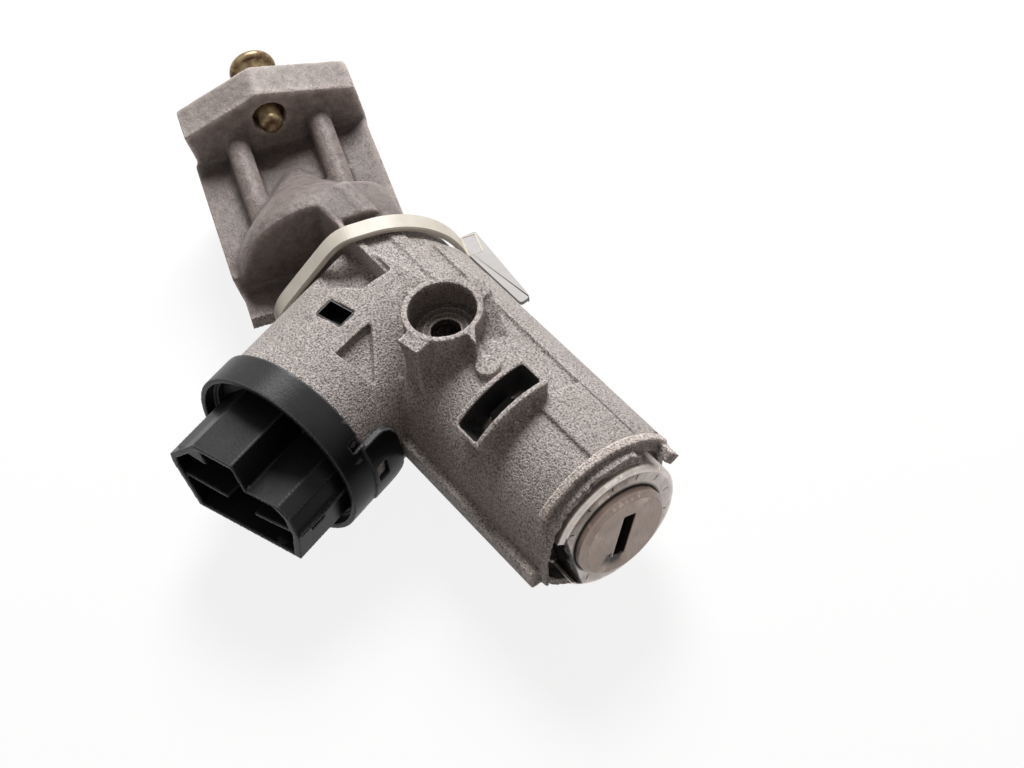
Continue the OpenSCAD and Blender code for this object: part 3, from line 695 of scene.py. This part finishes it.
# %% [markdown]
# ## The casting
# Barrel, branch and bracket are one die-cast piece. Small cast forms are added to the copy of the solid before it
# is rounded. Each could be cut in with a Boolean, but a form that is the hull of a few points and reaches into
# the metal needs none, because the remesh melts it in. The screw cup has a wing on its left and a shoulder with
# a sloping fin on its right, both level with its rim, and a neck leads from it to a pear-shaped pad.

# %% Cast forms
CUP_RIM = 24.2
WING = [(-53.3, -14.1, CUP_RIM), (-47.8, -13.1, CUP_RIM), (-48.3, -8.4, CUP_RIM), (-54.1, -10.9, CUP_RIM),
        (-45.9, -14.6, 12.4), (-53.6, -10.4, 12), (-47.6, -9, 12)]
SHOULDER = [(-58.2, 5.8), (-57.4, 6.8), (-56.4, 9.4), (-53, 10), (-51.2, 9.4), (-50, 5.8)]
FIN = [(-51.4, 9.4, 24.1), (-51.3, 7, 24.1), (-42.8, 6.9, 17.9), (-43.4, 4.2, 18.8), (-53, 8.4, 14),
       (-51, 6.4, 14), (-45, 4.4, 14), (-44, 6.4, 14)]
FIN_FOOT = [(-51, 6.9, 23.3), (-43.5, 4.3, 18.7), (-45, 1.2, 18.9), (-47.2, 5, 20.8), (-50, 6.5, 14),
            (-45.5, 2, 14)]
PAD_NECK = [(-44.5, -2.5), (-44.3, 0.1), (-42.6, 0.2), (-40, -1), (-40.5, -3)]


def cast_on(bm, points):
    made = bmesh.ops.convex_hull(bm, input=[bm.verts.new(Vector(p) * MM) for p in points])
    loose = {g for key in ("geom_interior", "geom_unused") for g in made[key]
             if isinstance(g, bmesh.types.BMVert)}
    bmesh.ops.delete(bm, geom=list(loose), context="VERTS")


def upright(outline, low, high):
    return [(x, y, z) for z in (low, high) for x, y in outline]


housing = merged("lock_housing")
for points in (WING, upright(SHOULDER, 14, CUP_RIM), FIN, FIN_FOOT, upright(PAD_NECK, 15, 19.9)):
    cast_on(housing, points)
print("casting has", len(housing.verts), "points after the forms round the cup")

# %% [markdown]
# ## Lump and pad
# The rim at the front has a lump near the top, left from the mould. Three short arcs of different height stand
# for it, each the hull of points on two circles. The pear-shaped pad is in the solid already, and its points
# are only pushed forward to its place.

# %% Lump and pad
LUMP_INNER = 16.25
PAD_X, PAD_Y, PAD_REACH, PAD_LEVEL = -42, -0.6, 2.8, 18.5
PAD_PUSH = Vector((4 * MM, -1.5 * MM, -0.15 * MM))

for first, last, outer in ((3, 13, 18.2), (11, 24, 18.2), (22, 33, 17.9)):
    cast_on(housing, [(x, r * math.sin(math.radians(t)), r * math.cos(math.radians(t)))
                      for x in (-4, -0.5) for r in (LUMP_INNER, outer) for t in (first, (first + last) / 2, last)])
pushed = 0
for vert in housing.verts:
    aside = math.hypot(vert.co.x - PAD_X * MM, vert.co.y - PAD_Y * MM)
    if vert.co.z > PAD_LEVEL * MM and aside < PAD_REACH * MM:
        vert.co += PAD_PUSH
        pushed += 1
print("pad moved by", pushed, "points")

# %% [markdown]
# ## Rounding and tearing the casting
# The bracket has much larger fillets than the barrel, so it is smoothed for longer. The thin rim at the front end
# is torn: it is drawn back at the underside, and a smooth noise leaves its edge uneven.

# %% Casting
BRACKET_FROM = 86
RIM_FOOT, RIM_INNER = -4, 16.9


def step(value, low, high):
    return min(max((value - low) / (high - low), 0), 1)


def on_bracket(p):
    return REARWARD[0] * p.x + REARWARD[1] * p.y > BRACKET_FROM


casting = rounded(show("casting", housing), cast, 0.36, 3, 190000, on_bracket, 48)
for vert in casting.data.vertices:
    x, y, z = vert.co / MM
    turn = math.degrees(math.atan2(y, z))
    if x > RIM_FOOT and math.hypot(y, z) > RIM_INNER:
        gone = step(turn, 57, 62) if turn > 0 else step(turn, -104, -114)
        uneven = 0.5 + noise.noise(Vector((turn * 0.3, z * 0.2, 3)))
        vert.co.x -= (x - RIM_FOOT) * 0.9 * gone * MM
        vert.co.x -= 0.55 * MM * step(x, -2.5, -0.8) * uneven
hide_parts("lock_housing")
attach(casting, "housing")

# %% [markdown]
# ## Cylinder sleeve
# The sleeve is a satin ring that the plug turns in. Its face is sunk a little inside a raised rim. That could be
# an inset, but after the remesh it is simpler to push points back by how far they are from the middle. The
# pocket for the catch is opened first, so that its rounded corners clear the catch.

# %% Sleeve
CATCH = Matrix.Translation((-27.7 * MM, 0, 0)) @ Matrix.Rotation(math.radians(18), 4, "X")
POCKET_X, POCKET_Y, POCKET_FLOOR, POCKET_EASE = 2.7, 2.8, 10.2, 0.35

bm = merged("cylinder_sleeve")
for vert in bm.verts:
    p = CATCH.inverted() @ vert.co / MM
    on_end, on_side = abs(p.x) > POCKET_X, abs(p.y) > POCKET_Y
    if abs(p.x) < POCKET_X + 0.2 and abs(p.y) < POCKET_Y + 0.2 and p.z > POCKET_FLOOR and (on_end or on_side):
        p += Vector((math.copysign(POCKET_EASE, p.x) if on_end else 0,
                     math.copysign(POCKET_EASE, p.y) if on_side else 0,
                     -POCKET_EASE if p.z < POCKET_FLOOR + 0.3 else 0))
        vert.co = CATCH @ (p * MM)
sleeve = rounded(show("sleeve", bm), nickel, 0.25, 3, 90000)
for vert in sleeve.data.vertices:
    reach = math.hypot(vert.co.y, vert.co.z) / MM
    if vert.co.x > 0.2 * MM:
        vert.co.x -= 0.3 * MM * step(reach, 14.8, 14.2) * step(reach, 11.5, 12.0)
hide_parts("cylinder_sleeve")
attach(sleeve, "housing")

# %% [markdown]
# ## Key plug
# The plug turns in the sleeve, so it rides on its own body. Its slot is widened a little in the middle, and a
# shallow lead-in is worn at one end. Both are pushes of points, measured along
# the slot and across it.

# %% Plug
SLOT_Y, SLOT_Z = 0.35, 0.937  # the way along the key slot
SLOT_NEAR, FACE_REACH = 4.5, 10
LEAD_TIP, LEAD_END, LEAD_SPREAD = -8.6, -5.6, 0.62

plug = rounded(show("plug", merged("key_plug")), plug_nickel, 0.2, 2, 90000)
for vert in plug.data.vertices:
    y, z = vert.co.y / MM, vert.co.z / MM
    wide, long = SLOT_Z * y - SLOT_Y * z, SLOT_Y * y + SLOT_Z * z
    if math.hypot(y, z) < FACE_REACH and abs(wide) < SLOT_NEAR:
        in_front = step(vert.co.x, -6 * MM, -3 * MM)
        open_more = in_front * step(abs(long), 6.3, 5.9) * step(abs(wide), SLOT_NEAR, 1.3) * 0.5
        shift = math.copysign(open_more, wide) * MM
        vert.co += Vector((0, SLOT_Z * shift, -SLOT_Y * shift))
    if vert.co.x > 2.9 * MM and LEAD_TIP < long < LEAD_END:
        half = (long - LEAD_TIP) * LEAD_SPREAD
        vert.co.x -= 0.7 * MM * step(abs(wide + 0.5), half + 0.3, half - 0.1)
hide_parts("key_plug")
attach(plug, "key")

# %% [markdown]
# ## Springs that are pressed
# A coil gets shorter as its joint moves. A rigid copy would run through the piece that presses it. Here each of
# these is only copied with a mesh of its own and rides on its body, so it keeps its shape.

# %% Pressed springs
def pressed(node, body, held):
    coil = show(node + "_wire", merged(node), steel)
    held = Vector(held).normalized()
    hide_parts(node)
    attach(coil, body)
    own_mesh(coil)


pressed("catch_spring", "housing", (0, 0.309, -0.951))
pressed("lock_bolt_spring", "housing", (-REARWARD[0], -REARWARD[1], 0))
pressed("wafer_springs", "key", (0, SLOT_Y, SLOT_Z))

# %% [markdown]
# ## Switch ring
# A black moulded ring clips the switch to the branch. The solid has its shape already, and only its edges are
# rounded, with smaller squares than the casting because a moulding has smaller radii.

# %% Ring
ring = rounded(show("ring", merged("switch_ring")), plastic, 0.25, 2, 90000)
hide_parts("switch_ring")
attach(ring, "housing")

# %% [markdown]
# ## Connector
# The connector's socket is divided by thin partitions and has a wedge in one corner, so that its mate fits only
# one way. They are drawn in the branch's own frame, where its axis is Z, and a matrix puts them in place. The
# branch leaves the barrel sideways and leans a little towards the front.

# %% Connector
BRANCH_LEAN = 15.3
APEX = Matrix.Translation((-75 * MM, 0, 0))
BRANCH = (APEX @ Matrix.Rotation(math.radians(BRANCH_LEAN), 4, "Z")
          @ Matrix.Rotation(math.radians(90), 4, "X"))
SOCKET_FLOOR, WALL_HALF = 44, 0.45


def in_branch(x, y, z):
    return BRANCH @ (Vector((x, y, z)) * MM) / MM


def partition(bm, p, q):
    along = Vector((q[0] - p[0], q[1] - p[1])).normalized()
    side = Vector((-along.y, along.x)) * WALL_HALF
    corners = [Vector(c) + side * s for c in (p, q) for s in (1, -1)]
    cast_on(bm, [in_branch(c.x, c.y, a) for c in corners for a in (SOCKET_FLOOR, 59.4)])


bm = merged("connector_housing")
for p, q in (((-16, -2.4), (-2.5, -1.4)), ((5.3, -1.6), (11.8, -0.4)), ((11.6, -0.4), (19.6, 1.3))):
    partition(bm, p, q)
cast_on(bm, [in_branch(x, y, a) for a in (SOCKET_FLOOR, 59.2) for x, y in ((-15.6, 7.2), (-8.1, 12.9), (-7, 6.7))])
connector = rounded(show("connector", bm), plastic, 0.28, 2, 150000)
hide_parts("connector_housing")
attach(connector, "housing")

# %% [markdown]
# ## Window in the branch
# The square window shows a black plastic edge with a shine on its rim, and nothing but dark below. A black liner
# set in it stands for that dark, as painted shade. It could be a frame of four bars. A box that is inset at the
# top, with the inset face pushed down, leaves the same thin wall all round in fewer steps.

# %% Window liner
LINER_MIDDLE = Vector((-1.4, 18.2, 18.7))
LINER_SIZE = (7.1 * MM, 4.6 * MM, 5.1 * MM, 1)

bm = bmesh.new()
bmesh.ops.create_cube(bm, size=1.0)
bmesh.ops.transform(bm, verts=bm.verts, matrix=Matrix.Translation(LINER_MIDDLE * MM) @ Matrix.Diagonal(LINER_SIZE))
bmesh.ops.bevel(bm, geom=bm.edges, offset=0.25 * MM, segments=2, profile=0.5, affect="EDGES", material=-1)
lid = [f for f in bm.faces if f.normal.y > 0.99]
bmesh.ops.inset_region(bm, faces=lid, thickness=0.2 * MM)
bmesh.ops.inset_region(bm, faces=lid, thickness=0.25 * MM, depth=-0.2 * MM)
bmesh.ops.translate(bm, verts=list({v for f in lid for v in f.verts}), vec=(0, -3.6 * MM, 0))
bmesh.ops.transform(bm, verts=bm.verts, matrix=BRANCH)
# a black box as painted shade for the dark inside the window
liner = show("window_shade_liner", bm, plastic)
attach(liner, "housing")
print("window liner:", len(liner.data.polygons), "faces")

# %% [markdown]
# ## Shear bolt
# A bolt is a turned piece: half of its outline is drawn once and spun round its axis. A stack of cylinders would
# leave hard steps, and the outline has the rounded head, the shank and the stub in one line. The stub that shows
# in the pocket is thinner than its hole and dimpled where the head sheared off. It lies in the bracket's frame.

# %% Shear bolt
BRACKET = APEX @ Matrix.Rotation(math.radians(-19.6), 4, "Z")
BOLT = BRACKET @ Matrix.Translation((0, -14.3 * MM, 12.8 * MM)) @ Matrix.Rotation(math.radians(90), 4, "Y")
BOLT_HEAD = [(0, -84.0), (0.3, -83.5), (0.9, -83.1), (2.4, -83.0), (4.7, -82.7), (5.6, -82.0), (5.8, -81.2),
             (5.6, -80.3), (5.0, -80.0)]
BOLT_SHANK = [(3.95, -79.9), (3.95, -66)]
BOLT_STUB = [(2.8, -65.2), (2.8, -61.3), (2.55, -60.6), (2.1, -60.25), (1.3, -60.3), (0.7, -60.9), (0, -61.1)]

bm = bmesh.new()
corners = [bm.verts.new((r * MM, 0, z * MM)) for r, z in BOLT_HEAD + BOLT_SHANK + BOLT_STUB]
outline = [bm.edges.new(pair) for pair in zip(corners, corners[1:])]
bmesh.ops.spin(bm, geom=corners + outline, cent=(0, 0, 0), axis=(0, 0, 1), angle=math.tau, steps=72,
               use_merge=True)
bmesh.ops.remove_doubles(bm, verts=bm.verts, dist=0.001 * MM)
bmesh.ops.recalc_face_normals(bm, faces=bm.faces)
bmesh.ops.transform(bm, verts=bm.verts, matrix=BOLT)
bolt = show("shear_bolt_turned", bm, zinc)
shade_smooth(bolt)
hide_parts("shear_bolt")
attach(bolt, "housing")
print("bolt:", triangles(bolt), "triangles")

# %% [markdown]
# ## Marker tie: the loop
# A nylon tie with a flag is strapped round the housing behind the branch. Its strap could follow a curve, but two
# half turns and two straight runs are all it needs. So a small rounded section is spun round one end of the loop,
# drawn straight, spun round the other end and drawn back to where it began.

# %% Tie loop
BEND_R, TIE_THICK, TIE_HALF = 20.2, 1.3, 4.8 / 2
TIE_BACK = 11.5
LEFT, RIGHT = -6.4, -2.7  # the middles of the two bends, across the bracket


def only(kind, geom):
    return [g for g in geom if isinstance(g, kind)]


def no_faces(geom):
    return [g for g in geom if not isinstance(g, bmesh.types.BMFace)]


def swept(bm, geom, centre):
    made = bmesh.ops.spin(bm, geom=geom, cent=(0, centre * MM, 0), axis=(1, 0, 0), angle=math.pi, steps=84)
    return no_faces(made["geom_last"])


def drawn(bm, geom, way):
    made = bmesh.ops.extrude_edge_only(bm, edges=only(bmesh.types.BMEdge, geom))["geom"]
    bmesh.ops.translate(bm, verts=only(bmesh.types.BMVert, made), vec=(0, way * MM, 0))
    return no_faces(made)


loop = bmesh.new()
section = [(-TIE_HALF, 0.25), (-TIE_HALF, TIE_THICK - 0.35), (-TIE_HALF + 0.35, TIE_THICK),
           (TIE_HALF - 0.35, TIE_THICK), (TIE_HALF, TIE_THICK - 0.35), (TIE_HALF, 0.25),
           (TIE_HALF - 0.2, 0.02), (-TIE_HALF + 0.2, 0.02)]
corners = [loop.verts.new(((x - TIE_BACK) * MM, RIGHT * MM, -(BEND_R + t) * MM)) for x, t in section]
rim = [loop.edges.new(pair) for pair in zip(corners, corners[1:] + corners[:1])]
end = swept(loop, corners + rim, RIGHT)
end = drawn(loop, end, LEFT - RIGHT)
end = swept(loop, end, LEFT)
drawn(loop, end, RIGHT - LEFT)
bmesh.ops.remove_doubles(loop, verts=loop.verts, dist=0.002 * MM)
bmesh.ops.recalc_face_normals(loop, faces=loop.faces)
print("tie loop:", len(loop.faces), "faces")

# %% [markdown]
# ## Marker tie: the strap
# A strap that is pulled tight runs straight from one ridge of the housing to the next, so what bulges past that
# line is drawn back to it, with a short soft turn at both ends. The teeth are a row of small steps on the left.
# Each face there is inset and raised by one operator, which keeps every tooth joined to the strap.

# %% Tie strap
TAUT_TURN = math.radians(136)
SOFT_TURN = 2.5

taut = Vector((0, math.cos(TAUT_TURN), math.sin(TAUT_TURN)))
for vert in loop.verts:
    if vert.co.y < LEFT * MM:
        most = (math.hypot(vert.co.y / MM - LEFT, vert.co.z / MM) + 1.0) * MM
        over = vert.co.dot(taut) - most
        near = max(SOFT_TURN * MM - abs(over), 0)
        vert.co -= taut * (max(over, 0) + near * near / (4 * SOFT_TURN * MM))
teeth = []
for face in loop.faces:
    middle = face.calc_center_median() / MM
    turn = math.degrees(math.atan2(LEFT - middle.y, middle.z))
    outside = math.hypot(middle.y - LEFT, middle.z) > BEND_R + TIE_THICK - 0.05
    if middle.y < LEFT and face.calc_area() > 2e-6 and 38 < turn < 125 and outside:
        teeth.append(face)
bmesh.ops.inset_individual(loop, faces=teeth, thickness=0.13 * MM, depth=0.16 * MM)
bmesh.ops.transform(loop, verts=loop.verts, matrix=BRACKET)
strap = show("tie_strap", loop, nylon)
print("tie teeth:", len(teeth))

# %% [markdown]
# ## Marker tie: the head
# The head is a small block that the strap is pulled through. A bevelled box with both ends inset and pushed in
# shows the mouth of that passage. The passage itself is filled by the strap, so it isn't cut.

# %% Tie head
HEAD_MIDDLE = Vector((-TIE_BACK * MM, (RIGHT + BEND_R + 2.45) * MM, 1.7 * MM))
HEAD_SIZE = (6.8 * MM, 4.3 * MM, 7.8 * MM, 1)

bm = bmesh.new()
bmesh.ops.create_cube(bm, size=1.0)
bmesh.ops.transform(bm, verts=bm.verts, matrix=Matrix.Translation(HEAD_MIDDLE) @ Matrix.Diagonal(HEAD_SIZE))
bmesh.ops.bevel(bm, geom=bm.edges, offset=0.6 * MM, segments=3, profile=0.5, affect="EDGES", material=-1)
mouths = [f for f in bm.faces if abs(f.normal.z) > 0.9 and f.calc_area() > 5e-6]
bmesh.ops.inset_region(bm, faces=mouths, thickness=0.8 * MM, depth=-1.2 * MM)
bmesh.ops.transform(bm, verts=bm.verts, matrix=BRACKET)
head = show("tie_head", bm, nylon)
print("tie head has", len(mouths), "mouths")

# %% [markdown]
# ## Marker tie: the flag
# The flag is a flat plate with a raised rim. Its outline is drawn as one face, the corners are rounded by a bevel
# of the vertices, and the face is pushed out to its thickness. An inset then leaves the rim standing.

# %% Tie flag
FLAG_OUTLINE = [(-8, 0), (17.4, 0), (17.4, 2.2), (16.8, 2.8), (-7, 5.4)]
FLAG_Y, FLAG_Z, FLAG_THICK = 20.32, 4.42, 1.05

bm = bmesh.new()
bm.faces.new([bm.verts.new((x * MM, (FLAG_Y + y) * MM, FLAG_Z * MM)) for x, y in FLAG_OUTLINE])
bmesh.ops.bevel(bm, geom=bm.verts, offset=0.6 * MM, segments=4, profile=0.5, affect="VERTICES", material=-1)
grown = bmesh.ops.extrude_face_region(bm, geom=bm.faces[:])["geom"]
bmesh.ops.translate(bm, verts=only(bmesh.types.BMVert, grown), vec=(0, 0, FLAG_THICK * MM))
bmesh.ops.recalc_face_normals(bm, faces=bm.faces)
upper = [f for f in bm.faces if f.normal.z > 0.9]
bmesh.ops.inset_region(bm, faces=upper, thickness=0.45 * MM, depth=-0.3 * MM)
bmesh.ops.transform(bm, verts=bm.verts, matrix=APEX)
flag = show("tie_flag", bm, flag_nylon)
for piece in (strap, head, flag):
    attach(piece, "housing")
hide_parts("marker_tie")
print("tie pieces:", [piece.name for piece in (strap, head, flag)])
